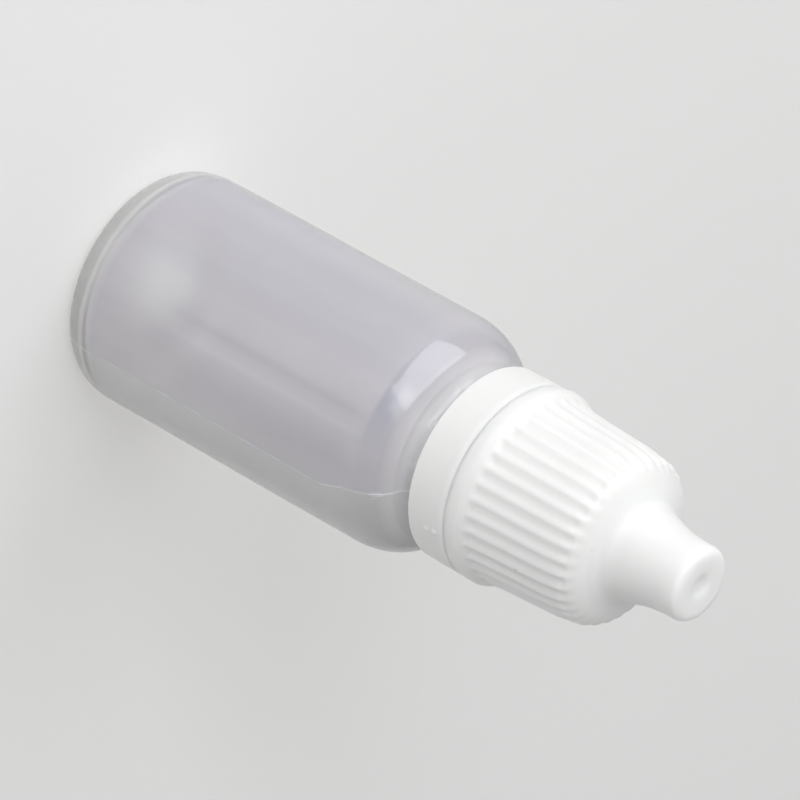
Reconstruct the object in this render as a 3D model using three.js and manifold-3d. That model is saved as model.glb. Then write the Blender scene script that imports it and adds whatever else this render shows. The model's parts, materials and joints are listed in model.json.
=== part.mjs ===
// Dropper bottle, 10 ml size: a squeezable polyethylene bottle, a pressed-in nozzle, a threaded cap
// with a sealing pin, and a tamper-evident ring that stays on the neck when the cap is opened.
// Millimetres, +Z up along the bottle's axis. Origin: centre of the base, on the standing plane.
// The mould parting line runs up the body at azimuth -43 degrees from +X and again opposite.

import * as THREE from "three";
import { mergeVertices } from "three/addons/utils/BufferGeometryUtils.js";
import Module from "manifold-3d";

const wasm = await Module();
wasm.setup();

// ---------------------------------------------------------------- driving dimensions

// bottle body
const BODY_R = 11.0; // outside radius
const WALL = 0.8; // side wall thickness
const BASE_CORNER_R = 1.2; // radial width of the base corner
const BASE_CORNER_H = 2.6; // height of the base corner
const SHOULDER_Z = 32.2; // where the straight wall ends
const SHOULDER_H = 5.35; // height of the shoulder's quarter ellipse
const NECK_R = 7.08; // collar between shoulder and ring
const COLLAR_TOP_Z = 39.05;
const PUSH_UP = 0.7; // height of the hollow under the base

// neck finish
const LIP_GROOVE_R = 6.4; // neck radius behind the ring's snap lip
const BEAD_R = 7.3; // tamper bead that keeps the ring on
const BEAD_Z = 41.1;
const FINISH_R = 5.85; // thread root radius
const RIM_Z = 51.6; // top of the neck
const BORE_R = 5.0;

// thread, 12 turns per inch, right-hand
const PITCH = 2.117;
const NECK_CREST_R = 6.5;
const NECK_THREAD_Z = 44.6; // centre of the flight at its start
const NECK_TURNS = 2.0;
const CAP_THREAD_DROP = 0.8; // the cap's flight runs this far under the neck's
const CAP_START = 0.15; // turns after the neck thread's start
const CAP_TURNS = 1.5;
const CAP_CREST_R = 6.12;
const CAP_BORE_R = 6.78;

// ratchet lugs on the collar
const LUGS = 12;
const LUG_PROUD = 0.45;
const LUG_PHASE = -8; // azimuth of one lug, degrees

// nozzle insert
const PLUG_R = 4.93;
const PLUG_BORE_R = 4.05;
const PLUG_BOTTOM_Z = 45.6;
const FLANGE_R = 5.75;
const FLANGE_Z = 51.65;
const FLANGE_T = 0.8;
const TIP_Z = 62.0;

// tamper ring
const RING_R = 8.98;
const RING_BORE_R = 8.15;
const RING_LIP_R = 6.8;
const RING_BOTTOM_Z = 39.4;
const RING_TOP_Z = 43.25;
const BRIDGES = 12;

// cap
const CAP_BOTTOM_Z = 43.55;
const CAP_COLLAR_R = 9.06;
const RIBS = 36;
const RIB_DEPTH = 0.27;
const RIB_BOTTOM_Z = 46.1;
const RIB_TOP_Z = 53.9;
const RIB_BOTTOM_R = 8.5; // crest radius at the bottom of the ribs
const RIB_TOP_R = 8.05; // crest radius at the top of the ribs
const RIB_PHASE = -85.0; // azimuth of one groove, degrees
const CAP_TOP_Z = 64.42;
const ROOF_Z = 62.6; // inside of the nipple
const PIN_R = 0.45; // sealing pin

// facets round the axis
const BODY_SEGMENTS = 48;
const CAP_SEGMENTS = 2 * RIBS;
const INNER_SEGMENTS = 36;
const THREAD_STEPS = 30; // per turn

// ---------------------------------------------------------------- helpers

const rad = THREE.MathUtils.degToRad;

// A closed geometry as a solid for joining and cutting.
function solid(geometry) {
  const g = geometry.clone();
  g.deleteAttribute("normal");
  g.deleteAttribute("uv");
  const m = mergeVertices(g, 1e-4);
  const idx = [];
  for (let i = 0; i < m.index.count; i += 3) {
    const a = m.index.getX(i),
      b = m.index.getX(i + 1),
      c = m.index.getX(i + 2);
    if (a !== b && b !== c && c !== a) idx.push(a, b, c);
  }
  const make = (list) =>
    new wasm.Manifold(
      new wasm.Mesh({
        numProp: 3,
        vertProperties: Float32Array.from(m.attributes.position.array),
        triVerts: Uint32Array.from(list),
      }),
    );
  let s = make(idx);
  if (s.volume() < 0) {
    const flipped = [];
    for (let i = 0; i < idx.length; i += 3)
      flipped.push(idx[i], idx[i + 2], idx[i + 1]);
    s = make(flipped);
  }
  return s;
}

function geometryOf(s) {
  const m = s.getMesh();
  const n = m.numProp;
  const pos = new Float32Array(m.numVert * 3);
  for (let i = 0; i < m.numVert; i++)
    pos.set(m.vertProperties.subarray(i * n, i * n + 3), i * 3);
  const indexed = new THREE.BufferGeometry()
    .setAttribute("position", new THREE.BufferAttribute(pos, 3))
    .setIndex(new THREE.BufferAttribute(Uint32Array.from(m.triVerts), 1));
  const g = indexed.toNonIndexed();
  g.computeVertexNormals();
  return g;
}

// A lathe about +Z from a profile of [radius, z].
function lathe(profile, segments) {
  const g = new THREE.LatheGeometry(
    profile.map(([r, z]) => new THREE.Vector2(r, z)),
    segments,
  );
  g.rotateX(Math.PI / 2);
  return g;
}

// Points of an ellipse arc: centre, half axes, and angles in degrees.
function arc(cr, cz, ar, az, from, to, steps) {
  const out = [];
  for (let i = 0; i <= steps; i++) {
    const a = rad(from + ((to - from) * i) / steps);
    out.push([cr + ar * Math.cos(a), cz + az * Math.sin(a)]);
  }
  return out;
}

// A helix whose frames keep one axis radial and one along +Z, so a section swept along it never twists.
class Helix extends THREE.Curve {
  constructor(z, phase, turns, fade) {
    super();
    this.z = z;
    this.phase = phase;
    this.turns = turns;
    this.fade = fade;
  }
  angle(t) {
    return this.phase + 2 * Math.PI * this.turns * t;
  }
  getPoint(t, target = new THREE.Vector3()) {
    // the flight sinks into the wall over the last tenth at each end
    const edge = Math.max(0, 1 - Math.min(t, 1 - t) / 0.08);
    const r = 5 + this.fade * edge;
    const a = this.angle(t);
    return target.set(
      r * Math.cos(a),
      r * Math.sin(a),
      this.z + PITCH * this.turns * t,
    );
  }
  getPointAt(t, target) {
    return this.getPoint(t, target);
  }
  getSpacedPoints(n) {
    return Array.from({ length: n + 1 }, (_, i) => this.getPoint(i / n));
  }
  computeFrenetFrames(n) {
    const tangents = [],
      normals = [],
      binormals = [];
    for (let i = 0; i <= n; i++) {
      const a = this.angle(i / n);
      normals.push(new THREE.Vector3(Math.cos(a), Math.sin(a), 0));
      binormals.push(new THREE.Vector3(0, 0, 1));
      tangents.push(new THREE.Vector3(-Math.sin(a), Math.cos(a), 0));
    }
    return { tangents, normals, binormals };
  }
}

// A thread flight of trapezoid section between two radii, given half widths at each.
function flight(z, turns, phase, rRoot, rCrest, halfRoot, halfCrest, fade) {
  const section = new THREE.Shape([
    new THREE.Vector2(rRoot - 5, -halfRoot),
    new THREE.Vector2(rCrest - 5, -halfCrest),
    new THREE.Vector2(rCrest - 5, halfCrest),
    new THREE.Vector2(rRoot - 5, halfRoot),
  ]);
  return solid(
    new THREE.ExtrudeGeometry(section, {
      steps: Math.round(THREAD_STEPS * turns),
      bevelEnabled: false,
      extrudePath: new Helix(z, phase, turns, fade),
    }),
  );
}

function part(name, geometry, color, roughness) {
  const mesh = new THREE.Mesh(
    geometry,
    new THREE.MeshStandardMaterial({ color, roughness, metalness: 0 }),
  );
  mesh.name = name;
  return mesh;
}

// ---------------------------------------------------------------- bottle

const shoulderW = BODY_R - NECK_R;
const bottleProfile = [
  // under the base: push-up, then the flat standing ring
  [0, PUSH_UP],
  [3.0, PUSH_UP - 0.06],
  [5.4, PUSH_UP - 0.28],
  [7.4, 0],
  [BODY_R - BASE_CORNER_R, 0],
  ...arc(
    BODY_R - BASE_CORNER_R,
    BASE_CORNER_H,
    BASE_CORNER_R,
    BASE_CORNER_H,
    -72,
    0,
    4,
  ),
  [BODY_R, SHOULDER_Z],
  ...arc(NECK_R, SHOULDER_Z, shoulderW, SHOULDER_H, 14, 70, 4),
  // soft fillet from the shoulder into the collar
  [7.85, 37.38],
  [7.4, 37.7],
  [NECK_R, 38.2],
  [NECK_R, COLLAR_TOP_Z - 0.1],
  [NECK_R - 0.1, COLLAR_TOP_Z],
  // groove for the ring's snap lip, and the tamper bead above it
  [LIP_GROOVE_R, COLLAR_TOP_Z],
  [LIP_GROOVE_R, BEAD_Z],
  [BEAD_R, BEAD_Z],
  [BEAD_R, BEAD_Z + 0.45],
  [FINISH_R, BEAD_Z + 1.75],
  // threaded finish
  [FINISH_R, RIM_Z - 0.25],
  [FINISH_R - 0.25, RIM_Z],
  [BORE_R + 0.2, RIM_Z],
  [BORE_R, RIM_Z - 0.25],
  // bore, inner shoulder, inner wall and floor
  [BORE_R, 38.4],
  [5.4, 37.4],
  ...arc(
    NECK_R,
    SHOULDER_Z,
    shoulderW - WALL,
    SHOULDER_H - WALL,
    70,
    0,
    4,
  ),
  [BODY_R - WALL, 2.9],
  [BODY_R - WALL - 0.35, 1.6],
  [BODY_R - WALL - 1.2, 1.0],
  [7.4, 0.95],
  [5.4, PUSH_UP + 0.55],
  [3.0, PUSH_UP + 0.78],
  [0, PUSH_UP + 0.85],
];

let bottleSolid = solid(lathe(bottleProfile, BODY_SEGMENTS)).add(
  flight(
    NECK_THREAD_Z,
    NECK_TURNS,
    0,
    FINISH_R - 0.08,
    NECK_CREST_R,
    0.62,
    0.26,
    -0.72,
  ),
);

// ratchet lugs: low wedges that stop the ring turning while its bridges are broken. The steep face meets a ring that
// turns anticlockwise, seen from above; the long face lets it ride over when the cap is screwed on.
for (let i = 0; i < LUGS; i++) {
  const wedge = new THREE.Shape([
    new THREE.Vector2(NECK_R - 0.5, -0.35),
    new THREE.Vector2(NECK_R + LUG_PROUD, -0.2),
    new THREE.Vector2(NECK_R + LUG_PROUD, 0.2),
    new THREE.Vector2(NECK_R - 0.5, 0.55),
  ]);
  const lug = new THREE.ExtrudeGeometry(wedge, {
    depth: 0.7,
    bevelEnabled: false,
  });
  lug.translate(0, 0, 38.15);
  lug.rotateZ(rad(LUG_PHASE + (360 / LUGS) * i));
  bottleSolid = bottleSolid.add(solid(lug));
}

// ---------------------------------------------------------------- nozzle insert

const tipProfile = [
  // inside, from the plug's mouth up to the orifice
  [PLUG_BORE_R, PLUG_BOTTOM_Z],
  [PLUG_R - 0.2, PLUG_BOTTOM_Z],
  [PLUG_R, PLUG_BOTTOM_Z + 0.5],
  [PLUG_R, FLANGE_Z],
  // flange on the rim
  [FLANGE_R - 0.1, FLANGE_Z],
  [FLANGE_R, FLANGE_Z + 0.1],
  [FLANGE_R, FLANGE_Z + FLANGE_T - 0.2],
  [FLANGE_R - 0.2, FLANGE_Z + FLANGE_T],
  // conical nozzle
  [3.95, FLANGE_Z + FLANGE_T],
  [3.45, 53.2],
  [3.05, 55.2],
  [2.5, 58.2],
  [2.1, 60.6],
  [2.1, 61.4],
  [1.8, 61.85],
  [1.2, TIP_Z],
  // orifice cup and drop channel
  [0.8, TIP_Z],
  [0.66, TIP_Z - 0.7],
  [0.35, TIP_Z - 0.85],
  [0.35, 60.3],
  [1.1, 59.6],
  [1.6, 57.6],
  [2.15, 54.8],
  [2.7, 52.3],
  [3.3, 51.3],
  [PLUG_BORE_R, 50.6],
  [PLUG_BORE_R, PLUG_BOTTOM_Z],
];
const tipGeometry = lathe(tipProfile, INNER_SEGMENTS);

// ---------------------------------------------------------------- tamper ring

const ringProfile = [
  [RING_LIP_R, RING_BOTTOM_Z + 0.35],
  [RING_LIP_R + 0.35, RING_BOTTOM_Z],
  [RING_R - 0.15, RING_BOTTOM_Z],
  [RING_R, RING_BOTTOM_Z + 0.15],
  [RING_R, RING_TOP_Z - 0.12],
  [RING_R - 0.12, RING_TOP_Z],
  [RING_BORE_R, RING_TOP_Z],
  [RING_BORE_R, RING_BOTTOM_Z + 1.9],
  [RING_LIP_R, RING_BOTTOM_Z + 1.05],
  [RING_LIP_R, RING_BOTTOM_Z + 0.35],
];
let ringSolid = solid(lathe(ringProfile, BODY_SEGMENTS));

// stubs of the break-away bridges on the ring's top edge
for (let i = 0; i < BRIDGES; i++) {
  const stub = new THREE.Shape([
    new THREE.Vector2(RING_BORE_R + 0.15, -0.25),
    new THREE.Vector2(RING_R - 0.3, -0.2),
    new THREE.Vector2(RING_R - 0.3, 0.2),
    new THREE.Vector2(RING_BORE_R + 0.15, 0.25),
  ]);
  const bridge = new THREE.ExtrudeGeometry(stub, {
    depth: 0.3,
    bevelEnabled: false,
  });
  bridge.translate(0, 0, RING_TOP_Z - 0.1);
  bridge.rotateZ(rad(10 + (360 / BRIDGES) * i));
  ringSolid = ringSolid.add(solid(bridge));
}

// ---------------------------------------------------------------- screw cap

// Outside: collar, ribbed taper, domed shoulder, flared neck, nipple and the gate dimple in its end.
// The third number is how deep the grooves between the ribs are there: every other facet line lies in a groove.
const capOuter = [
  [0, 42.0, 0],
  [CAP_COLLAR_R - 0.1, 42.0, 0],
  [CAP_COLLAR_R - 0.1, CAP_BOTTOM_Z, 0],
  [CAP_COLLAR_R, CAP_BOTTOM_Z + 0.12, 0],
  [CAP_COLLAR_R, 44.75, 0],
  [8.98, 45.0, 0],
  [8.85, 45.25, 0],
  [8.69, 45.6, 0.42],
  [RIB_BOTTOM_R, RIB_BOTTOM_Z, RIB_DEPTH],
  [8.36, 48.0, RIB_DEPTH],
  [RIB_TOP_R, RIB_TOP_Z, RIB_DEPTH],
  [7.9, 54.65, 0.18],
  [7.7, 55.4, 0],
  [7.36, 56.0, 0],
  [6.72, 56.5, 0],
  [5.65, 56.98, 0],
  [4.7, 57.6, 0],
  [4.3, 58.3, 0],
  [4.02, 59.2, 0],
  [3.72, 60.3, 0],
  [3.52, 61.5, 0],
  [3.43, 62.7, 0],
  [3.44, 63.4, 0],
  [3.32, 63.95, 0],
  [2.98, 64.3, 0],
  [2.45, CAP_TOP_Z, 0],
  [1.6, CAP_TOP_Z - 0.07, 0],
  [0.95, CAP_TOP_Z - 0.36, 0],
  [0.5, CAP_TOP_Z - 0.53, 0],
  [0, CAP_TOP_Z - 0.55, 0],
];
const capLathe = new THREE.LatheGeometry(
  capOuter.map(([r, z]) => new THREE.Vector2(r, z)),
  CAP_SEGMENTS,
);
{
  const p = capLathe.attributes.position;
  const rows = capOuter.length;
  for (let i = 0; i <= CAP_SEGMENTS; i++)
    for (let j = 0; j < rows; j++) {
      if (!capOuter[j][2] || i % 2) continue;
      const k = i * rows + j;
      const s = 1 - capOuter[j][2] / capOuter[j][0];
      p.setX(k, p.getX(k) * s);
      p.setZ(k, p.getZ(k) * s);
    }
}
capLathe.rotateX(Math.PI / 2);
// a lathe starts at azimuth -90 degrees once it stands on +Z, where i = 0 is a groove
capLathe.rotateZ(rad(RIB_PHASE + 90));

const capInner = [
  [0, 41.0],
  [9.6, 41.0],
  [9.6, CAP_BOTTOM_Z],
  [CAP_BORE_R + 0.35, CAP_BOTTOM_Z],
  [CAP_BORE_R, CAP_BOTTOM_Z + 0.35],
  [CAP_BORE_R, 52.9],
  [6.35, 53.4],
  [5.9, 54.6],
  [5.2, 55.4],
  [3.9, 56.3],
  [3.1, 57.5],
  [2.65, 59.5],
  [2.45, 61.3],
  [2.4, ROOF_Z],
  [PIN_R + 0.1, ROOF_Z],
  [PIN_R, ROOF_Z - 0.1],
  [PIN_R, ROOF_Z - 0.9],
  [0.25, ROOF_Z - 1.1],
  [0, ROOF_Z - 1.1],
];
const capFlight = flight(
  NECK_THREAD_Z - CAP_THREAD_DROP + PITCH * CAP_START,
  CAP_TURNS,
  2 * Math.PI * CAP_START,
  CAP_BORE_R + 0.3,
  CAP_CREST_R,
  0.5,
  0.16,
  0.72,
);
const capSolid = solid(capLathe)
  .subtract(solid(lathe(capInner, INNER_SEGMENTS)))
  .add(capFlight);

// ---------------------------------------------------------------- assembly

const bottle = new THREE.Group();
bottle.name = "dropper_bottle";

const onNeck = new THREE.Group(); // what turns about the neck
onNeck.add(part("tamper_ring", geometryOf(ringSolid), 0xf4f4f4, 0.45));
onNeck.add(part("screw_cap", geometryOf(capSolid), 0xf4f4f4, 0.45));

bottle.add(part("bottle", geometryOf(bottleSolid), 0xd2d3dc, 0.35));
bottle.add(
  part("dropper_tip", geometryOf(solid(tipGeometry)), 0xe6e6ea, 0.4),
);
bottle.add(onNeck);

export default bottle;
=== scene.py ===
import json
import math

import bpy
import numpy as np
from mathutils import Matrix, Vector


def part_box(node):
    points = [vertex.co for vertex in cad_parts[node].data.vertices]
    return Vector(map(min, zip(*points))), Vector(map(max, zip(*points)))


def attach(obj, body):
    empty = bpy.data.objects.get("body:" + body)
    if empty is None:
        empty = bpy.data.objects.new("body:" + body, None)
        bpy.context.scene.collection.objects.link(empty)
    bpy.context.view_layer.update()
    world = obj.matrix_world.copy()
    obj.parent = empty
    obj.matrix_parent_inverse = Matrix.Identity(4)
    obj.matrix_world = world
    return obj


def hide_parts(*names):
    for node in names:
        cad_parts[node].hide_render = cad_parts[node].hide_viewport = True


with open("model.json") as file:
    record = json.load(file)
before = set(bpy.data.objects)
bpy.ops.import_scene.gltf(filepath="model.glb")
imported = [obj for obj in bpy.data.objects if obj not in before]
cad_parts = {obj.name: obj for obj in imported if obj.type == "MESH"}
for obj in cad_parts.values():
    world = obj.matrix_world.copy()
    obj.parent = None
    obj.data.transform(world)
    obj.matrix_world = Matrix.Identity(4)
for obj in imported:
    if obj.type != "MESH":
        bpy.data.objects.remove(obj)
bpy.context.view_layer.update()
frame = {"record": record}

MM = 0.001
scene = bpy.context.scene

# ------------------------------------------------------------------ camera
# Long lens, 33.5 degrees above the horizon in front of the bottle (looking along +Y), rolled so that the
# bottle's axis runs down to the right.

cam_data = bpy.data.cameras.new("camera")
cam_data.sensor_width = 36.0
cam_data.lens = 292.5
cam_data.clip_start, cam_data.clip_end = 0.02, 20.0
cam = bpy.data.objects.new("camera", cam_data)
scene.collection.objects.link(cam)
scene.camera = cam
from mathutils import Matrix, Quaternion, Vector  # noqa: E402

_cx = Vector((-0.486686, 0.482159, 0.728463))
_cy = Vector((-0.873577, -0.268620, -0.405841))
_cz = Vector((0.0, -0.833886, 0.551937))
_cl = Vector((-1.3688, -465.3226, 337.1873)) * MM
cam.matrix_world = Matrix((
    (_cx.x, _cy.x, _cz.x, _cl.x),
    (_cx.y, _cy.y, _cz.y, _cl.y),
    (_cx.z, _cy.z, _cz.z, _cl.z),
    (0, 0, 0, 1),
))

# ------------------------------------------------------------------ mesh making


def smooth(x):
    x = np.clip(x, 0.0, 1.0)
    return x * x * (3 - 2 * x)


def rounded(points, step=0.4):
    """A dense polyline through [r, z, fillet] corners: each corner is replaced by an arc of that radius."""
    out = []
    n = len(points)
    for i, p in enumerate(points):
        a = np.array(p[:2], float)
        f = p[2] if len(p) > 2 else 0.0
        if i == 0 or i == n - 1 or f <= 0:
            out.append(a)
            continue
        u = np.array(points[i - 1][:2], float) - a
        v = np.array(points[i + 1][:2], float) - a
        lu, lv = np.linalg.norm(u), np.linalg.norm(v)
        u, v = u / lu, v / lv
        ang = math.acos(max(-1.0, min(1.0, float(u @ v))))
        if ang > math.radians(178):
            out.append(a)
            continue
        t = min(f / math.tan(ang / 2), lu * 0.49, lv * 0.49)
        rad = t * math.tan(ang / 2)
        mid = (u + v) / np.linalg.norm(u + v)
        c = a + mid * (rad / math.sin(ang / 2))
        s, e = a + u * t - c, a + v * t - c
        turn = math.pi - ang
        k = max(3, int(math.ceil(turn / math.radians(14))))
        for j in range(k + 1):
            w = j / k
            out.append(c + (s * math.sin((1 - w) * turn) + e * math.sin(w * turn)) / math.sin(turn))
    return densify(out, step)


def densify(points, step):
    """The same polyline with no stretch longer than step."""
    out = [np.array(points[0], float)]
    for p in points[1:]:
        p = np.array(p, float)
        d = np.linalg.norm(p - out[-1])
        if d < 1e-6:
            continue
        k = max(1, int(math.ceil(d / step)))
        a = out[-1]
        for j in range(1, k + 1):
            out.append(a + (p - a) * j / k)
    return out


def spline(points, per=8):
    """A smooth curve through the points (centripetal Catmull-Rom)."""
    P = [np.array(p, float) for p in points]
    P = [2 * P[0] - P[1], *P, 2 * P[-1] - P[-2]]
    out = []
    for i in range(1, len(P) - 2):
        p0, p1, p2, p3 = P[i - 1], P[i], P[i + 1], P[i + 2]
        t0 = 0.0
        t1 = t0 + np.linalg.norm(p1 - p0) ** 0.5
        t2 = t1 + np.linalg.norm(p2 - p1) ** 0.5
        t3 = t2 + np.linalg.norm(p3 - p2) ** 0.5
        for j in range(per):
            t = t1 + (t2 - t1) * j / per
            a1 = (t1 - t) / (t1 - t0) * p0 + (t - t0) / (t1 - t0) * p1
            a2 = (t2 - t) / (t2 - t1) * p1 + (t - t1) / (t2 - t1) * p2
            a3 = (t3 - t) / (t3 - t2) * p2 + (t - t2) / (t3 - t2) * p3
            b1 = (t2 - t) / (t2 - t0) * a1 + (t - t0) / (t2 - t0) * a2
            b2 = (t3 - t) / (t3 - t1) * a2 + (t - t1) / (t3 - t1) * a3
            out.append((t2 - t) / (t2 - t1) * b1 + (t - t1) / (t2 - t1) * b2)
    out.append(P[-2])
    return out


def columns(n, refine=()):
    """Azimuths in radians: n even ones, with finer ones near each (centre, half width, step) in degrees."""
    a = list(np.arange(n) * 360.0 / n)
    for centre, half, step in refine:
        centre %= 360.0
        near = lambda x: abs((x - centre + 180) % 360 - 180)
        a = [x for x in a if near(x) > half]
        a += [(centre + d) % 360.0 for d in np.arange(-half, half + 1e-9, step)]
    return np.radians(np.unique(np.round(sorted(a), 5)))


def wrap(a):
    return (a + math.pi) % (2 * math.pi) - math.pi


def place(ob, node, top):
    """Puts a piece whose rows were drawn with their highest point at top, in mm, on the turning axis and level with its
    CAD node."""
    x, y, _ = frame["record"]["behaviour"]["joints"][0]["pos_m"]
    lo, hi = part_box(node)
    ob.location = (x, y, round(hi.z - top * MM, 6))


def revolve(name, rows, phi, move=None, closed=False, inner_from=None):
    """A closed surface of revolution. rows are [r, z] in mm, in order; move(R, Z, P, J) returns shifted R and Z grids."""
    rows = np.array(rows, float)
    m, n = len(rows), len(phi)
    R = np.repeat(rows[:, :1], n, 1)
    Z = np.repeat(rows[:, 1:], n, 1)
    P = np.repeat(phi[None, :], m, 0)
    if move is not None:
        R, Z = move(R.copy(), Z.copy(), P)
    first_pole = not closed and rows[0, 0] < 1e-6
    last_pole = not closed and rows[-1, 0] < 1e-6
    lo, hi = (1 if first_pole else 0), (m - 1 if last_pole else m)
    ring = np.stack([R[lo:hi] * np.cos(P[lo:hi]), R[lo:hi] * np.sin(P[lo:hi]), Z[lo:hi]], -1).reshape(-1, 3)
    verts = [ring]
    k = hi - lo
    i = np.arange(n)
    i2 = (i + 1) % n
    quads = []
    for j in range(k - 1):
        a, b = j * n, (j + 1) * n
        quads.append(np.stack([a + i, a + i2, b + i2, b + i], -1))
    if closed:
        a, b = (k - 1) * n, 0
        quads.append(np.stack([a + i, a + i2, b + i2, b + i], -1))
    faces = np.concatenate(quads).tolist()
    count = len(ring)
    if first_pole:
        verts.append(np.array([[0, 0, Z[0].mean()]]))
        faces += np.stack([np.full(n, count), i2, i], -1).tolist()
        count += 1
    if last_pole:
        verts.append(np.array([[0, 0, Z[-1].mean()]]))
        b = (k - 1) * n
        faces += np.stack([np.full(n, count), b + i, b + i2], -1).tolist()
    me = bpy.data.meshes.new(name)
    me.from_pydata((np.concatenate(verts) * MM).tolist(), [], faces)
    me.validate()
    me.update()
    me.polygons.foreach_set("use_smooth", np.ones(len(me.polygons), bool))
    if inner_from is not None:
        # quads come row by row, so the second material starts at that row; the last fan belongs to it too
        idx = np.zeros(len(me.polygons), np.int32)
        idx[max(0, inner_from - lo) * n : (k if closed else k - 1) * n] = 1
        if last_pole:
            idx[-n:] = 1
        me.polygons.foreach_set("material_index", idx)
    ob = bpy.data.objects.new(name, me)
    scene.collection.objects.link(ob)
    return ob


# ------------------------------------------------------------------ dimensions the pieces share, mm

PITCH = 2.117
NECK_THREAD_Z = 44.6
NECK_TURNS = 2.0
CAP_DROP = 0.8
CAP_START = 0.15
CAP_TURNS = 1.5
SEAM_LOW, SEAM_HIGH = -42.1, -46.4  # azimuth of one parting line on the wall and on the shoulder; the other is opposite
SEAM_FROM, SEAM_TO = 31.0, 33.4  # it steps across between these heights
FLASH = ((-47.4, 35.9, 36.7, 0.6), (-46.5, 35.75, 36.95, 1.0), (-45.4, 36.0, 36.8, 0.8), (-43.9, 35.9, 36.5, 0.5))
LUG_PHASE = math.radians(-8.0)
RIB_PHASE = math.radians(-85.0)


def thread_height(Z, P, z0, start, turns, height, half_root, half_crest):
    """Height of a helical flight over the cylinder it stands on."""
    best = np.zeros_like(Z)
    p = np.mod(P, 2 * math.pi) / (2 * math.pi)
    for k in range(-1, int(turns) + 3):
        t = p + k - start
        centre = z0 + PITCH * t
        d = np.abs(Z - centre)
        h = 1 - np.clip((d - half_crest) / (half_root - half_crest), 0, 1)
        h = smooth(h) * 0.35 + h * 0.65
        ends = smooth(t / 0.16) * smooth((turns - t) / 0.16)
        inside = (t >= 0) & (t <= turns)
        best = np.maximum(best, np.where(inside, height * h * ends, 0))
    return best


# ------------------------------------------------------------------ bottle

t = np.linspace(0, math.pi / 2, 17)
corner = [[9.8 + 1.2 * math.sin(a), 2.6 * (1 - math.cos(a))] for a in t]
shoulder = [[7.08 + 3.92 * math.cos(a), 32.2 + 5.35 * math.sin(a)] for a in np.radians(np.arange(0, 70.1, 1.4))]
neck_in = spline([shoulder[-1], [7.92, 37.36], [7.5, 37.62], [7.2, 38.0], [7.08, 38.45]], 8)
outer = (
    spline([[0, 0.66], [1.6, 0.69], [3.2, 0.62], [5.2, 0.4], [6.6, 0.14], [7.6, 0.0]], 6)
    + densify([[7.7, 0.0], [9.5, 0.0]], 0.3)
    + corner
    + densify([[11.0, 2.7], [11.0, 32.1]], 0.5)
    + shoulder[:-1]
    + neck_in
    + rounded([
        [7.08, 38.5], [7.08, 38.75], [7.08, 39.05, 0.1], [6.4, 39.05, 0.12], [6.4, 41.1, 0.12], [7.3, 41.1, 0.12],
        [7.3, 41.5, 0.15], [5.85, 42.85, 0.3], [5.85, 43.4],
    ], 0.2)
    + densify([[5.85, 43.5], [5.85, 51.0]], 0.12)
    + rounded([[5.85, 51.05], [5.85, 51.6, 0.25], [5.0, 51.6, 0.25], [5.0, 50.9]], 0.25)
)
inner = (
    densify([[5.0, 50.5], [5.0, 39.0]], 0.8)
    + spline([[5.0, 38.6], [5.15, 37.9], [5.7, 37.25], [6.6, 36.86], [7.45, 36.6]], 5)
    + [[7.08 + 3.12 * math.cos(a), 32.2 + 4.55 * math.sin(a)] for a in np.radians(np.arange(74, -0.1, -5.0))]
    + densify([[10.2, 32.0], [10.2, 3.4]], 1.0)
    + spline([[10.2, 3.2], [10.12, 2.3], [9.75, 1.55], [9.0, 1.05], [7.8, 0.92], [6.6, 1.02], [5.2, 1.25], [3.2, 1.45], [1.6, 1.52], [0, 1.55]], 5)
)
bottle_rows = outer + inner
n_outer = len(outer)
seam_refine = [(-44.6, 3.8, 0.16), (135.4, 3.8, 0.16)]


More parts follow.
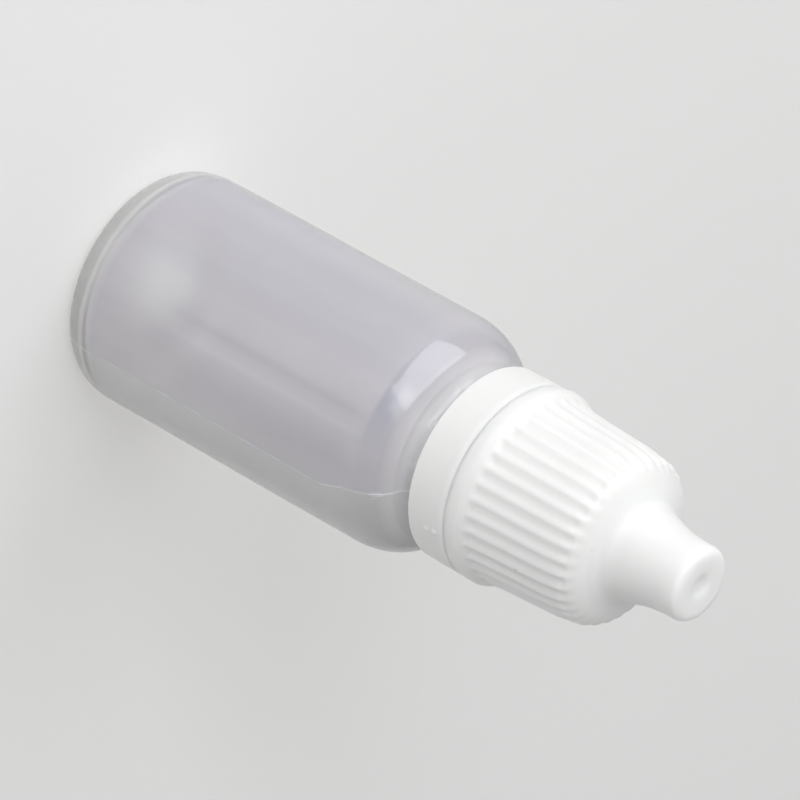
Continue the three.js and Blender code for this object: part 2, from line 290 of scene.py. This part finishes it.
def bottle_move(R, Z, P):
    row = np.arange(len(R))[:, None]
    out = row < n_outer
    body = out & (Z < 38.4)
    # thread and lugs
    on_finish = out & (Z > 43.45) & (Z < 51.02)
    R = R + np.where(on_finish, thread_height(Z, P, NECK_THREAD_Z, 0.0, NECK_TURNS, 0.65, 0.62, 0.26), 0)
    rel = np.mod(P - LUG_PHASE + math.radians(15), math.radians(30)) - math.radians(15)
    arc = rel * 7.1
    wedge = smooth((arc + 0.42) / 0.22) * smooth((0.55 - arc) / 0.4)
    high = smooth((Z - 37.6) / 0.3) * smooth((38.95 - Z) / 0.3)
    lug = np.maximum(R, 7.08 + 0.2 * wedge * high)
    R = np.where(out & (Z > 37.7) & (Z < 39.02) & (R > 7.0) & (R < 7.55), lug, R)
    # parting line: a fine raised line with small irregular flash near the neck
    lean = np.radians(SEAM_LOW + (SEAM_HIGH - SEAM_LOW) * np.clip((Z - SEAM_FROM) / (SEAM_TO - SEAM_FROM), 0, 1))
    for half, seed in ((0.0, 0.0), (math.pi, 2.1)):
        d = wrap(P - lean - half) * np.maximum(R, 0.5)
        amp = 0.038 * (1 + 0.35 * np.sin(Z * 1.9 + seed) + 0.25 * np.sin(Z * 5.3 + 1 + seed))
        amp = amp * (1 + 1.1 * smooth((Z - 35.0) / 1.2) * smooth((37.6 - Z) / 0.6))
        line = np.exp(-((d / 0.085) ** 2)) * amp
        side = body & (Z > 0.35)
        R = R + np.where(side, line, 0)
        under = out & (Z <= 0.75) & (R < 7.2)
        Z = Z - np.where(under, np.minimum(line * 0.8, 0.05) * smooth(R / 0.6) * smooth((7.2 - R) / 0.8), 0)
    # blow-moulded walls are never dead straight
    sway = 0.035 * np.sin(P * 2 + 0.6) * np.sin(Z * 0.11 + 0.4) + 0.02 * np.sin(P * 3 - 1.1) * np.sin(Z * 0.23)
    fade = smooth((Z - 3.0) / 5.0) * smooth((35.0 - Z) / 4.0)
    R = R + np.where((R > 9.0) & (R < 11.3), (sway - 0.02) * fade, 0)
    # small raised ends of the die lines, where the wall turns into the shoulder
    for az, z, size, up in ((-86.0, 34.25, 0.3, 0.045), (-72.5, 34.3, 0.24, 0.04), (-101.0, 34.6, 0.2, 0.03), (-42.5, 30.5, 0.18, 0.03)):
        d2 = (wrap(P - math.radians(az)) * 10.7) ** 2 + (Z - z) ** 2
        R = R + np.where(body & (R > 9.5), up * np.exp(-d2 / size**2), 0)
    # flash beside the parting line where the shoulder turns into the neck
    for az, lo, hi, much in FLASH:
        ridge = np.exp(-((wrap(P - math.radians(az)) * 9.2 / 0.06) ** 2)) * smooth((Z - lo) / 0.2) * smooth((hi - Z) / 0.2)
        R = R + np.where(body & (R > 7.6), 0.04 * much * ridge, 0)
    # gate mark in the middle of the push-up
    gate = np.exp(-((R / 0.7) ** 4)) * 0.16
    Z = Z + np.where(out & (Z < 0.75) & (R < 1.6), gate, 0)
    return R, Z


bottle_ob = revolve("bottle_wall", bottle_rows, columns(360, seam_refine), bottle_move, inner_from=n_outer - 1)
place(bottle_ob, "bottle", 51.6)
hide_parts("bottle")
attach(bottle_ob, "bottle_body")

# ------------------------------------------------------------------ nozzle insert

tip_rows = rounded([
    [4.05, 45.6], [4.73, 45.6, 0.1], [4.93, 46.1, 0.2], [4.93, 51.65, 0.05], [5.75, 51.65, 0.1],
    [5.75, 52.45, 0.2], [3.95, 52.45, 0.3], [3.45, 53.2, 1.0], [3.05, 55.2, 4.0], [2.5, 58.2, 6.0],
    [2.1, 60.6, 1.5], [2.1, 61.4, 0.4], [1.8, 61.85, 0.3], [1.2, 62.0, 0.2], [0.8, 62.0, 0.08],
    [0.66, 61.3, 0.1], [0.35, 61.15, 0.1], [0.35, 60.3, 0.3], [1.1, 59.6, 0.6], [1.6, 57.6, 3.0],
    [2.15, 54.8, 4.0], [2.7, 52.3, 1.0], [3.3, 51.3, 0.6], [4.05, 50.6, 0.6],
], 0.35)
tip_rows = tip_rows + densify([[4.05, 50.3], [4.05, 46.0]], 0.6)
tip_ob = revolve("dropper_nozzle", tip_rows, columns(128), closed=True)
place(tip_ob, "dropper_tip", 62.0)
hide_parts("dropper_tip")
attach(tip_ob, "bottle_body")

# ------------------------------------------------------------------ tamper ring

RING_TOP = 43.485
DOT_A, DOT_B = (-39.0, 41.62), (-39.8, 42.5)  # two blobs of flash: azimuth and height
ring_rows = rounded([
    [6.8, 40.1], [6.8, 39.75, 0.1], [7.15, 39.4, 0.1], [8.98, 39.4, 0.16], [8.99, 40.3],
], 0.25) + densify([[8.99, 40.35], [9.02, 42.9]], 0.07) + spline(
    [[9.02, 42.95], [9.02, 43.15], [9.013, 43.3], [9.0, 43.4], [8.975, RING_TOP - 0.01]], 5
) + rounded([
    [8.965, RING_TOP], [8.15, RING_TOP, 0.1], [8.15, 41.3, 0.2], [6.8, 40.45, 0.2],
], 0.12)


def ring_move(R, Z, P):
    # two beads of flash on the outside, and the stubs of the bridges on top
    for az, z, size, up in ((DOT_A[0], DOT_A[1], 0.24, 0.15), (DOT_B[0], DOT_B[1], 0.25, 0.18)):
        d2 = (wrap(P - math.radians(az)) * 8.98) ** 2 + (Z - z) ** 2
        R = R + np.where(R > 8.9, up * np.exp(-d2 / size**2), 0)
    rel = (np.mod(P - math.radians(10) + math.radians(15), math.radians(30)) - math.radians(15)) * 8.4
    stub = smooth((0.34 - np.abs(rel)) / 0.12)
    top = (Z > RING_TOP - 0.02) & (R > 8.25) & (R < 8.8)
    Z = Z + np.where(top, 0.01 * stub, 0)
    # the band is a little out of round, as a thin moulded band is
    R = R + np.where(R > 8.5, 0.012 * np.sin(2 * P + 0.7), 0)
    return R, Z


ring_ob = revolve("tamper_band", ring_rows, columns(288, [(-40.5, 3.6, 0.2)]), ring_move, closed=True)
place(ring_ob, "tamper_ring", 43.45)
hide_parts("tamper_ring")
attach(ring_ob, "ring_body")

# ------------------------------------------------------------------ screw cap

CAP_LOW = 43.5
RIB_DEPTH, RIB_SHARP = 0.175, 1.4
RIB_TOP_LINE = [[45.3, 8.53], [46.5, 8.454], [48.0, 8.356], [50.0, 8.243], [52.0, 8.147], [53.8, 8.06], [56.2, 7.945]]
cap_in = rounded([
    [0, 61.5], [0.25, 61.5, 0.1], [0.45, 61.7, 0.1], [0.45, 62.5, 0.1], [0.6, 62.6, 0.1], [2.4, 62.6, 0.3],
    [2.45, 61.3, 1.0], [2.65, 59.5, 3.0], [3.1, 57.5, 2.0], [3.9, 56.3, 0.8], [5.2, 55.4, 0.8],
    [5.9, 54.6, 0.8], [6.35, 53.4, 0.4], [6.78, 52.9, 0.3], [6.78, 50.0],
], 0.45)
cap_in_thread = densify([[6.78, 49.9], [6.78, 44.3]], 0.12)
cap_lip = rounded([
    [6.78, 44.2], [6.78, 43.9, 0.1], [7.13, CAP_LOW, 0.1], [8.965, CAP_LOW],
], 0.12)
collar = spline(
    [[8.975, CAP_LOW + 0.01], [9.0, 43.6], [9.018, 43.72], [9.038, 43.88], [9.05, 44.05]], 5
) + densify([[9.055, 44.1], [9.07, 44.55]], 0.12) + spline(
    [[9.07, 44.6], [9.05, 44.78], [9.0, 44.94], [8.93, 45.1], [8.86, 45.25]], 5
) + spline([[8.84, 45.3], [8.77, 45.42], [8.69, 45.6], [8.59, 45.85], [8.52, 46.1]], 6)
rib_zone = spline([[8.485, 46.25], [8.454, 46.6], [8.356, 48.0], [8.243, 50.0], [8.147, 52.0], [8.09, 53.0], [8.055, 53.6], [7.99, 54.1]], 10)
dome = spline([
    [7.98, 54.15], [7.89, 54.6], [7.71, 55.4], [7.36, 56.0], [6.7, 56.5], [5.66, 56.98], [4.78, 57.5],
    [4.34, 58.25], [4.05, 59.2], [3.74, 60.3], [3.54, 61.5], [3.44, 62.7],
], 8)
nipple = spline([[3.44, 62.8], [3.45, 63.4], [3.4, 63.85], [3.2, 64.2], [2.92, 64.36], [2.55, 64.42]], 6)
end_face = spline(
    [[2.45, 64.42], [1.7, 64.415], [1.3, 64.39], [1.05, 64.33], [0.82, 64.24], [0.6, 64.17], [0.35, 64.13], [0, 64.12]], 6
)
cap_rows = cap_in + cap_in_thread + cap_lip + collar + rib_zone + dome + nipple + end_face
n_in = len(cap_in) + len(cap_in_thread)


def cap_move(R, Z, P):
    row = np.arange(len(R))[:, None]
    ins = row < n_in
    # inner thread
    zone = ins & (Z < 49.95) & (Z > 43.65)
    R = R - np.where(
        zone,
        thread_height(Z, P, NECK_THREAD_Z - CAP_DROP, CAP_START, CAP_TURNS + CAP_START, 0.66, 0.5, 0.16),
        0,
    )
    # 36 ribs: narrow rounded ridges with wide shallow flutes between them. A flute starts at a small step in the
    # collar's bevel and runs out where the dome falls away below its floor.
    out = ~ins & (Z > 45.28) & (Z < 56.6) & (R > 6.8)
    x = 0.5 - 0.5 * np.cos(36 * (P - RIB_PHASE))  # 1 on a ridge, 0 in a flute
    line = np.interp(Z, [p[0] for p in RIB_TOP_LINE], [p[1] for p in RIB_TOP_LINE])
    deep = R - np.minimum(R, line) + RIB_DEPTH * smooth((55.95 - Z) / 0.45)
    R = R - np.where(out, deep * (1 - x**RIB_SHARP) * smooth((Z - 45.28) / 0.75), 0)
    swell = smooth((Z - 54.6) / 0.8) * smooth((56.7 - Z) / 0.7)
    R = R + np.where(~ins & (R > 5.5), 0.12 * (x - 0.45) * swell, 0)
    # a nub of flash on the collar
    d2 = (wrap(P - math.radians(-178.5)) * 9.06) ** 2 + (Z - 44.3) ** 2
    R = R + np.where(~ins & (R > 8.9), 0.1 * np.exp(-d2 / 0.2**2), 0)
    # the moulded edge where the ribs start is a touch uneven
    uneven = 0.012 * np.sin(5 * P + 1.0) + 0.008 * np.sin(11 * P)
    R = R + np.where(~ins & (Z > 44.7) & (Z < 45.28) & (R > 8.5), uneven, 0)
    return R, Z


cap_ob = revolve("ribbed_cap", cap_rows, columns(576), cap_move)
place(cap_ob, "screw_cap", 64.42)
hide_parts("screw_cap")
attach(cap_ob, "cap_body")

# ------------------------------------------------------------------ materials


def new_material(name):
    mat = bpy.data.materials.new(name)
    mat.use_nodes = True
    nt = mat.node_tree
    nt.nodes.clear()
    return mat, nt


class N:
    """Short hand for making and joining nodes."""

    def __init__(self, nt):
        self.nt = nt

    def __call__(self, kind, **values):
        n = self.nt.nodes.new(kind)
        for k, v in values.items():
            if k in ("operation", "blend_type", "data_type", "noise_dimensions", "distribution", "interpolation_type", "clamp", "use_clamp", "feature", "invert"):
                setattr(n, k, v)
        return n

    def link(self, a, b):
        self.nt.links.new(a, b)

    def math(self, op, a, b=None, clamp=False):
        n = self.nt.nodes.new("ShaderNodeMath")
        n.operation = op
        n.use_clamp = clamp
        for i, v in enumerate((a, b)):
            if v is None:
                continue
            if isinstance(v, (int, float)):
                n.inputs[i].default_value = v
            else:
                self.link(v, n.inputs[i])
        return n.outputs[0]

    def noise(self, vec, scale, detail=3.0, rough=0.5):
        n = self.nt.nodes.new("ShaderNodeTexNoise")
        n.inputs["Scale"].default_value = scale
        n.inputs["Detail"].default_value = detail
        n.inputs["Roughness"].default_value = rough
        self.link(vec, n.inputs["Vector"])
        return n.outputs["Fac"]

    def ramp(self, fac, lo, hi, a, b, soft=False):
        n = self.nt.nodes.new("ShaderNodeMapRange")
        n.interpolation_type = "SMOOTHSTEP" if soft else "LINEAR"
        n.inputs["From Min"].default_value = lo
        n.inputs["From Max"].default_value = hi
        n.inputs["To Min"].default_value = a
        n.inputs["To Max"].default_value = b
        self.link(fac, n.inputs["Value"])
        return n.outputs["Result"]

    def mix_color(self, fac, a, b):
        n = self.nt.nodes.new("ShaderNodeMix")
        n.data_type = "RGBA"
        for sock, v in ((n.inputs[0], fac), (n.inputs[6], a), (n.inputs[7], b)):
            if isinstance(v, (int, float)):
                sock.default_value = v
            elif isinstance(v, tuple):
                sock.default_value = (*v, 1.0)
            else:
                self.link(v, sock)
        return n.outputs[2]

    def scaled(self, vec, s):
        n = self.nt.nodes.new("ShaderNodeVectorMath")
        n.operation = "MULTIPLY"
        self.link(vec, n.inputs[0])
        n.inputs[1].default_value = s
        return n.outputs[0]

    def bump(self, height, strength, distance, normal=None):
        n = self.nt.nodes.new("ShaderNodeBump")
        n.inputs["Strength"].default_value = strength
        n.inputs["Distance"].default_value = distance
        self.link(height, n.inputs["Height"])
        if normal is not None:
            self.link(normal, n.inputs["Normal"])
        return n.outputs["Normal"]


def part_shadow(n, shader, share, color=(1.0, 1.0, 1.0)):
    """Some light passes through a thin moulding, so it casts only part of a shadow."""
    path = n("ShaderNodeLightPath")
    see = n("ShaderNodeBsdfTransparent")
    see.inputs["Color"].default_value = (*color, 1.0)
    last = n("ShaderNodeMixShader")
    n.link(n.math("MULTIPLY", path.outputs["Is Shadow Ray"], share), last.inputs[0])
    n.link(shader, last.inputs[1])
    n.link(see.outputs[0], last.inputs[2])
    return last.outputs[0]


def white_plastic(name, base, tint, speck=None, sss=0.8, shadow=0.25, depth=0.0014, edge=0.0436, flute_shadows=()):
    mat, nt = new_material(name)
    n = N(nt)
    out = n("ShaderNodeOutputMaterial")
    bsdf = n("ShaderNodeBsdfPrincipled")
    tc = n("ShaderNodeTexCoord").outputs["Object"]
    cloud = n.noise(tc, 90.0, 3.0)
    fine = n.noise(tc, 2600.0, 2.0)
    drag = n.noise(n.scaled(tc, (1.0, 1.0, 0.12)), 1500.0, 2.0)
    col = n.mix_color(n.ramp(cloud, 0.3, 0.7, 0.0, 1.0), base, tint)
    if speck:
        # one grain of dirt moulded into the surface
        dist = nt.nodes.new("ShaderNodeVectorMath")
        dist.operation = "DISTANCE"
        n.link(tc, dist.inputs[0])
        dist.inputs[1].default_value = speck
        mask = n.ramp(dist.outputs["Value"], 0.00005, 0.00015, 1.0, 0.0)
        col = n.mix_color(n.math("MULTIPLY", mask, 0.6), col, (0.25, 0.24, 0.22))
    xyz = nt.nodes.new("ShaderNodeSeparateXYZ")
    n.link(tc, xyz.inputs[0])
    for az, lo, hi in flute_shadows:
        # painted shadows: short dark marks deep in the flutes
        turn = n.math("MULTIPLY", n.math("ARCTAN2", xyz.outputs[1], xyz.outputs[0]), 180 / math.pi)
        span = n.math("MULTIPLY", n.ramp(xyz.outputs[2], lo, lo + 0.0002, 0.0, 1.0), n.ramp(xyz.outputs[2], hi - 0.0002, hi, 1.0, 0.0))
        mask = n.math("MULTIPLY", n.math("MULTIPLY", bell(n, turn, az, 0.45), span), 0.75)
        col = n.mix_color(mask, col, (0.2, 0.19, 0.18))
    # painted light: a whiter band beside the gap between ring and cap, where shade falls
    painted_light_band = bell(n, xyz.outputs[2], edge, 0.0004)
    # painted light on the cap too: the shaded cove at the nipple's root and the top of the end face are made whiter
    if speck:
        painted_light_band = n.math("ADD", painted_light_band, n.math("MULTIPLY", bell(n, xyz.outputs[2], 0.0572, 0.0009), 0.8))
        painted_light_band = n.math("ADD", painted_light_band, n.ramp(xyz.outputs[2], 0.0639, 0.0642, 0.0, 1.0), clamp=True)
    col = n.mix_color(painted_light_band, col, (0.96, 0.96, 0.955))
    n.link(col, bsdf.inputs["Base Color"])
    bsdf.inputs["IOR"].default_value = 1.49
    n.link(n.ramp(n.noise(tc, 420.0, 4.0), 0.25, 0.75, 0.36, 0.5), bsdf.inputs["Roughness"])
    bsdf.inputs["Subsurface Weight"].default_value = sss
    bsdf.inputs["Subsurface Radius"].default_value = (1.0, 0.97, 0.92)
    bsdf.inputs["Subsurface Scale"].default_value = depth
    h = n.math("ADD", n.math("MULTIPLY", fine, 0.5), n.math("MULTIPLY", drag, 0.5))
    n.link(n.bump(h, 0.35, 0.00002), bsdf.inputs["Normal"])
    n.link(part_shadow(n, bsdf.outputs[0], shadow), out.inputs["Surface"])
    return mat


def bell(n, x, centre, width):
    d = n.math("DIVIDE", n.math("SUBTRACT", x, centre), width)
    return n.math("EXPONENT", n.math("MULTIPLY", n.math("MULTIPLY", d, d), -1.0))


def milky_plastic(name, cold, warm, back, through, clear, gloss, rough, shadow, body=""):
    """Thin milky polyethylene. It scatters bluish light back, lets warmer light through, and shows what is behind it
    as frosted glass does. back, through and clear are the shares of the three."""
    mat, nt = new_material(name)
    n = N(nt)
    out = n("ShaderNodeOutputMaterial")
    tc = n("ShaderNodeTexCoord").outputs["Object"]
    # wall thickness wanders: long soft streaks from the drawing of the tube, and clouds
    streak = n.noise(n.scaled(tc, (1.0, 1.0, 0.04)), 420.0, 3.0)
    cloud = n.noise(n.scaled(tc, (1.0, 1.0, 0.5)), 110.0, 3.0)
    vary = n.math("ADD", n.math("MULTIPLY", streak, 0.5), n.math("MULTIPLY", cloud, 0.5))
    k = n.ramp(vary, 0.35, 0.65, 0.87, 0.92)
    slow = n.noise(n.scaled(tc, (1.0, 1.0, 0.6)), 70.0, 2.0)
    cold = n.mix_color(n.ramp(slow, 0.38, 0.62, 0.0, 1.0), cold, (cold[0] * 1.03, cold[1] * 1.015, cold[2] * 0.955))
    if body:
        xyz = nt.nodes.new("ShaderNodeSeparateXYZ")
        n.link(tc, xyz.inputs[0])
        x, y, z = xyz.outputs
        az = n.math("MULTIPLY", n.math("ARCTAN2", y, x), 180 / math.pi)
        low = n.ramp(z, 0.0032, 0.0018, 0.0, 1.0) if body == "inside" else n.ramp(z, 0.0036, 0.0021, 0.0, 1.0)
        neck = n.ramp(z, 0.0363, 0.0374, 0.0, 1.0)
        if body == "outside":
            # painted reflection and shade: a dark and a light streak along the wall where a lamp's reflection would
            # end, and a broad darker band at -60 degrees
            span = n.math("MULTIPLY", n.ramp(z, 0.009, 0.015, 0.0, 1.0), n.ramp(z, 0.033, 0.0345, 1.0, 0.0))
            for centre, width, amount in ((-83.0, 2.8, -0.075), (-74.8, 2.2, 0.05), (-60.0, 10.0, -0.075)):
                line = n.math("MULTIPLY", n.math("MULTIPLY", bell(n, az, centre, width), span), amount)
                k = n.math("ADD", k, line)
            # painted light: the wall is made milkier, so brighter, on the side the key light comes from (about -158
            # degrees) and in a narrow band at -96 degrees
            k = n.math("ADD", k, n.math("MULTIPLY", bell(n, az, -158.0, 26.0), 0.09))
            k = n.math("ADD", k, n.math("MULTIPLY", bell(n, az, -96.0, 8.0), 0.03))
            # the neck is a little milkier: thicker plastic, and painted light lifting the shade under the ring
            k = n.math("ADD", k, n.math("MULTIPLY", neck, 0.02))
            # painted shade tint: from -122 to -94 degrees round to the side away from the key light the wall turns less
            # blue
            cold = n.mix_color(n.ramp(az, -122.0, -94.0, 0.0, 0.8), cold, (0.895, 0.877, 0.96))
            # painted shade: a dark bluish band on the shoulder, strongest at -91 degrees, where no lamp is reflected
            painted_shoulder_shade = n.math("MULTIPLY", n.ramp(z, 0.0343, 0.0347, 0.0, 1.0), n.ramp(z, 0.0356, 0.0367, 1.0, 0.0))
            painted_shoulder_shade = n.math("MULTIPLY", painted_shoulder_shade, n.math("ADD", 0.14, n.math("MULTIPLY", bell(n, az, -91.0, 14.0), 0.86)))
            cold = n.mix_color(painted_shoulder_shade, cold, (0.68, 0.70, 0.86))
        # painted shade tint: the mould half turned away from the key light is coloured less blue
        lean = n.math("MULTIPLY", n.ramp(z, SEAM_FROM * MM, SEAM_TO * MM, SEAM_LOW, SEAM_HIGH), math.pi / 180)
        radius = n.math("SQRT", n.math("ADD", n.math("MULTIPLY", x, x), n.math("MULTIPLY", y, y)))
        side = n.math("MULTIPLY", radius, n.math("SINE", n.math("SUBTRACT", n.math("ARCTAN2", y, x), lean)))
        cold = n.mix_color(n.math("MULTIPLY", n.ramp(side, -0.00005, 0.00005, 0.0, 1.0), 0.85), cold, SHADED_HALF_TINT)
        # the neck and the base are whiter: thicker plastic, and painted light lifting the shade under the ring and at
        # the foot; the inside floor shows through the wall as a pale patch
        cold = n.mix_color(n.math("MULTIPLY", neck, 0.9), cold, NECK)
        if body == "outside":
            cold = n.mix_color(n.math("MULTIPLY", low, 0.8), cold, LOW)
        else:
            # the middle of the floor is thickest and whiter, and painted lighter so that it shows through the wall as a
            # pale patch: partly real, partly painted light
            fx, fy = n.math("DIVIDE", n.math("ADD", x, 0.0006), 0.7), n.math("SUBTRACT", y, 0.0004)
            flat = n.math("SQRT", n.math("ADD", n.math("MULTIPLY", fx, fx), n.math("MULTIPLY", fy, fy)))
            middle = n.math("MULTIPLY", low, n.ramp(flat, 0.0010, 0.0088, 1.0, 0.0, soft=True))
            cold = n.mix_color(middle, cold, FLOOR)
            warm = n.mix_color(middle, warm, FLOOR)
        # the parting line is thin, whiter flash, and also a painted highlight where the raised line catches light
        across = n.math("ABSOLUTE", side)
        seam_and_glints = n.math("MULTIPLY", n.ramp(across, 0.00007, 0.00015, 1.0, 0.0), n.ramp(n.noise(tc, 700.0, 2.0), 0.3, 0.6, 0.6, 1.0))
        seam_and_glints = n.math("MULTIPLY", seam_and_glints, n.ramp(z, 0.001, 0.0016, 0.0, 1.0))
        if body == "outside":
            line = seam_and_glints
            # painted highlights: bright specks of flash beside the parting line near the neck
            for turn, lo, hi, much in FLASH:
                span = n.math("MULTIPLY", n.ramp(z, lo * MM, (lo + 0.15) * MM, 0.0, 1.0), n.ramp(z, (hi - 0.15) * MM, hi * MM, 1.0, 0.0))
                speck = n.math("MULTIPLY", n.math("MULTIPLY", bell(n, az, turn, 0.3), span), much)
                seam_and_glints = n.math("MAXIMUM", seam_and_glints, n.math("MULTIPLY", speck, 2.2))
            # painted glints on the lugs, which also lift the shade under the ring
            wave = n.math("COSINE", n.math("MULTIPLY", n.math("ADD", az, 6.5), 12 * math.pi / 180))
            lug = n.math("MULTIPLY", n.ramp(wave, 0.8, 0.96, 0.0, 1.0), n.math("MULTIPLY", n.ramp(z, 0.0375, 0.0379, 0.0, 1.0), n.ramp(z, 0.0384, 0.0390, 1.0, 0.3)))
            seam_and_glints = n.math("MAXIMUM", seam_and_glints, n.math("MULTIPLY", lug, 0.55))
            # the flash specks and lug glints are painted white
            cold = n.mix_color(n.math("MULTIPLY", n.math("SUBTRACT", seam_and_glints, line), 0.5, clamp=True), cold, (1.0, 1.0, 1.0))
        k = n.math("ADD", k, n.math("MULTIPLY", seam_and_glints, 0.03))
        dense = n.math("ADD", n.math("MULTIPLY", low, 0.26) if body == "outside" else n.math("ADD", n.math("MULTIPLY", low, 0.15), n.math("MULTIPLY", middle, 0.8)), n.math("MULTIPLY", neck, 0.32))
        dense = n.math("ADD", dense, n.math("MULTIPLY", seam_and_glints, 0.22), clamp=True)
    base = n.mix_color(k, (0.0, 0.0, 0.0), cold)
    glow = n.mix_color(k, (0.0, 0.0, 0.0), warm)
    fine = n.noise(tc, 1700.0, 3.0)
    drag = n.noise(n.scaled(tc, (1.0, 1.0, 0.05)), 800.0, 3.0)
    h = n.math("ADD", n.math("MULTIPLY", fine, 0.4), n.math("MULTIPLY", drag, 0.6))
    nor = n.bump(h, 0.08, 0.00002)
    r = n.ramp(n.noise(n.scaled(tc, (1.0, 1.0, 0.3)), 260.0, 4.0), 0.25, 0.75, gloss * 0.8, gloss * 1.35)
    bsdf = n("ShaderNodeBsdfPrincipled")
    n.link(base, bsdf.inputs["Base Color"])
    n.link(r, bsdf.inputs["Roughness"])
    bsdf.inputs["IOR"].default_value = 1.51
    bsdf.inputs["Specular IOR Level"].default_value = 0.0
    n.link(nor, bsdf.inputs["Normal"])
    if body == "inside":
        # painted glow: the thick middle of the floor gives off light of its own, though it is no lamp
        n.link(n.math("MULTIPLY", middle, 0.2), bsdf.inputs["Emission Strength"])
        bsdf.inputs["Emission Color"].default_value = (0.96, 1.0, 0.93, 1.0)
    trans = n("ShaderNodeBsdfTranslucent")
    n.link(glow, trans.inputs["Color"])
    glass = n("ShaderNodeBsdfGlass")
    n.link(glow, glass.inputs["Color"])
    glass.inputs["IOR"].default_value = 1.51
    glass.inputs["Roughness"].default_value = rough
    n.link(nor, glass.inputs["Normal"])
    two = n("ShaderNodeMixShader")
    two.inputs[0].default_value = clear / (through + clear)
    n.link(trans.outputs[0], two.inputs[1])
    n.link(glass.outputs[0], two.inputs[2])
    mix = n("ShaderNodeMixShader")
    share = (through + clear) / (back + through + clear)
    if body:
        n.link(n.math("MULTIPLY", n.math("SUBTRACT", 1.0, dense), share), mix.inputs[0])
    else:
        mix.inputs[0].default_value = share
    n.link(bsdf.outputs[0], mix.inputs[1])
    n.link(two.outputs[0], mix.inputs[2])
    # one clear skin over all of it
    skin = n("ShaderNodeBsdfGlossy")
    n.link(r, skin.inputs["Roughness"])
    n.link(nor, skin.inputs["Normal"])
    fres = n("ShaderNodeFresnel")
    fres.inputs["IOR"].default_value = 1.51
    n.link(nor, fres.inputs["Normal"])
    top = n("ShaderNodeMixShader")
    n.link(fres.outputs[0], top.inputs[0])
    n.link(mix.outputs[0], top.inputs[1])
    n.link(skin.outputs[0], top.inputs[2])
    n.link(part_shadow(n, top.outputs[0], shadow, (0.98, 0.975, 0.96)), out.inputs["Surface"])
    return mat


def paint(ob, *mats):
    for mat in mats:
        ob.data.materials.append(mat)


speck_az, speck_z, speck_r = math.radians(-73.0), 56.85, 5.95
speck = (speck_r * math.cos(speck_az) * MM, speck_r * math.sin(speck_az) * MM, speck_z * MM)
# the cap: one real grain of dirt and painted shadows in two flutes
paint(cap_ob, white_plastic("cap_polypropylene", (0.872, 0.872, 0.868), (0.85, 0.85, 0.846), speck, flute_shadows=((-18.9, 0.0522, 0.0537), (-39.6, 0.0508, 0.0512))))
paint(ring_ob, white_plastic("ring_polypropylene", (0.86, 0.86, 0.855), (0.835, 0.835, 0.83), shadow=0.5, depth=0.0008, edge=0.0434))
COLD, WARM = (0.885, 0.88, 1.0), (0.975, 0.965, 0.97)
# SHADED_HALF_TINT is a painted shade tint; NECK, LOW and FLOOR are whiter thick plastic, partly painted light
SHADED_HALF_TINT, NECK, LOW, FLOOR = (0.97, 0.975, 0.98), (0.99, 0.98, 1.0), (0.94, 0.94, 0.915), (0.97, 1.0, 0.95)
paint(
    bottle_ob,
    milky_plastic("bottle_polyethylene", COLD, WARM, 0.38, 0.10, 0.52, 0.04, 0.15, 0.88, body="outside"),
    milky_plastic("bottle_polyethylene_inside", COLD, WARM, 0.04, 0.06, 0.90, 0.12, 0.10, 0.92, body="inside"),
)
paint(tip_ob, milky_plastic("nozzle_polyethylene", COLD, WARM, 0.6, 0.25, 0.15, 0.2, 0.3, 0.3))

# ------------------------------------------------------------------ stage: a pale floor that curves up all round

stage_rows = densify([[0, 0], [0.4, 0], [1.5, 0]], 0.1) + [
    np.array([1.5 + 0.8 * math.sin(a), 0.8 - 0.8 * math.cos(a)]) for a in np.radians(np.arange(6, 90.1, 6))
] + densify([[2.3, 0.85], [2.3, 1.7]], 0.2)
floor = revolve("floor", [[r / MM, z / MM] for r, z in stage_rows], columns(96))
floor.location.z = -0.00002
mat, nt = new_material("floor_paper")
n = N(nt)
out = n("ShaderNodeOutputMaterial")
bsdf = n("ShaderNodeBsdfPrincipled")
tc = n("ShaderNodeTexCoord").outputs["Object"]
n.link(n.mix_color(n.noise(tc, 6.0, 2.0), (0.92, 0.92, 0.915), (0.935, 0.935, 0.93)), bsdf.inputs["Base Color"])
bsdf.inputs["Roughness"].default_value = 0.85
bsdf.inputs["Specular IOR Level"].default_value = 0.0
n.link(bsdf.outputs[0], out.inputs["Surface"])
paint(floor, mat)

# ------------------------------------------------------------------ light


def softbox(name, direction, distance, size, power, target=(0, 0, 0.03), gloss=True, diffuse=True, spin=0.0, shift=(0, 0)):
    data = bpy.data.lights.new(name, "AREA")
    data.shape = "RECTANGLE"
    data.size, data.size_y = size
    data.energy = power
    ob = bpy.data.objects.new(name, data)
    scene.collection.objects.link(ob)
    d = Vector(direction).normalized()
    turn = d.to_track_quat("Z", "Y")
    ob.location = Vector(target) + d * distance + turn @ Vector((shift[0], shift[1], 0))
    ob.rotation_mode = "QUATERNION"
    ob.rotation_quaternion = turn @ Quaternion((0, 0, 1), math.radians(spin))
    ob.visible_camera = False
    ob.visible_glossy = gloss
    ob.visible_diffuse = diffuse
    ob.visible_transmission = diffuse
    return ob


softbox("key", (-0.72, -0.43, 0.55), 0.62, (0.86, 0.68), 2.45, gloss=False)
sheen = softbox("sheen", (-0.72, -0.43, 0.55), 0.60, (0.856, 0.564), 4.2, diffuse=False, spin=21.1, shift=(0.046, -0.047))
sheen.data.color = (0.94, 0.94, 1.0)
softbox("front", (-0.22, -0.75, 0.60), 1.2, (0.6, 0.6), 4.2, gloss=False)
softbox("top", (-0.10, 0.30, 1.0), 1.2, (0.7, 0.7), 0.8, gloss=False)

world = bpy.data.worlds.new("studio")
world.use_nodes = True
world.node_tree.nodes["Background"].inputs["Color"].default_value = (1.0, 1.0, 1.0, 1.0)
world.node_tree.nodes["Background"].inputs["Strength"].default_value = 0.355
scene.world = world
scene.view_settings.view_transform = "Standard"
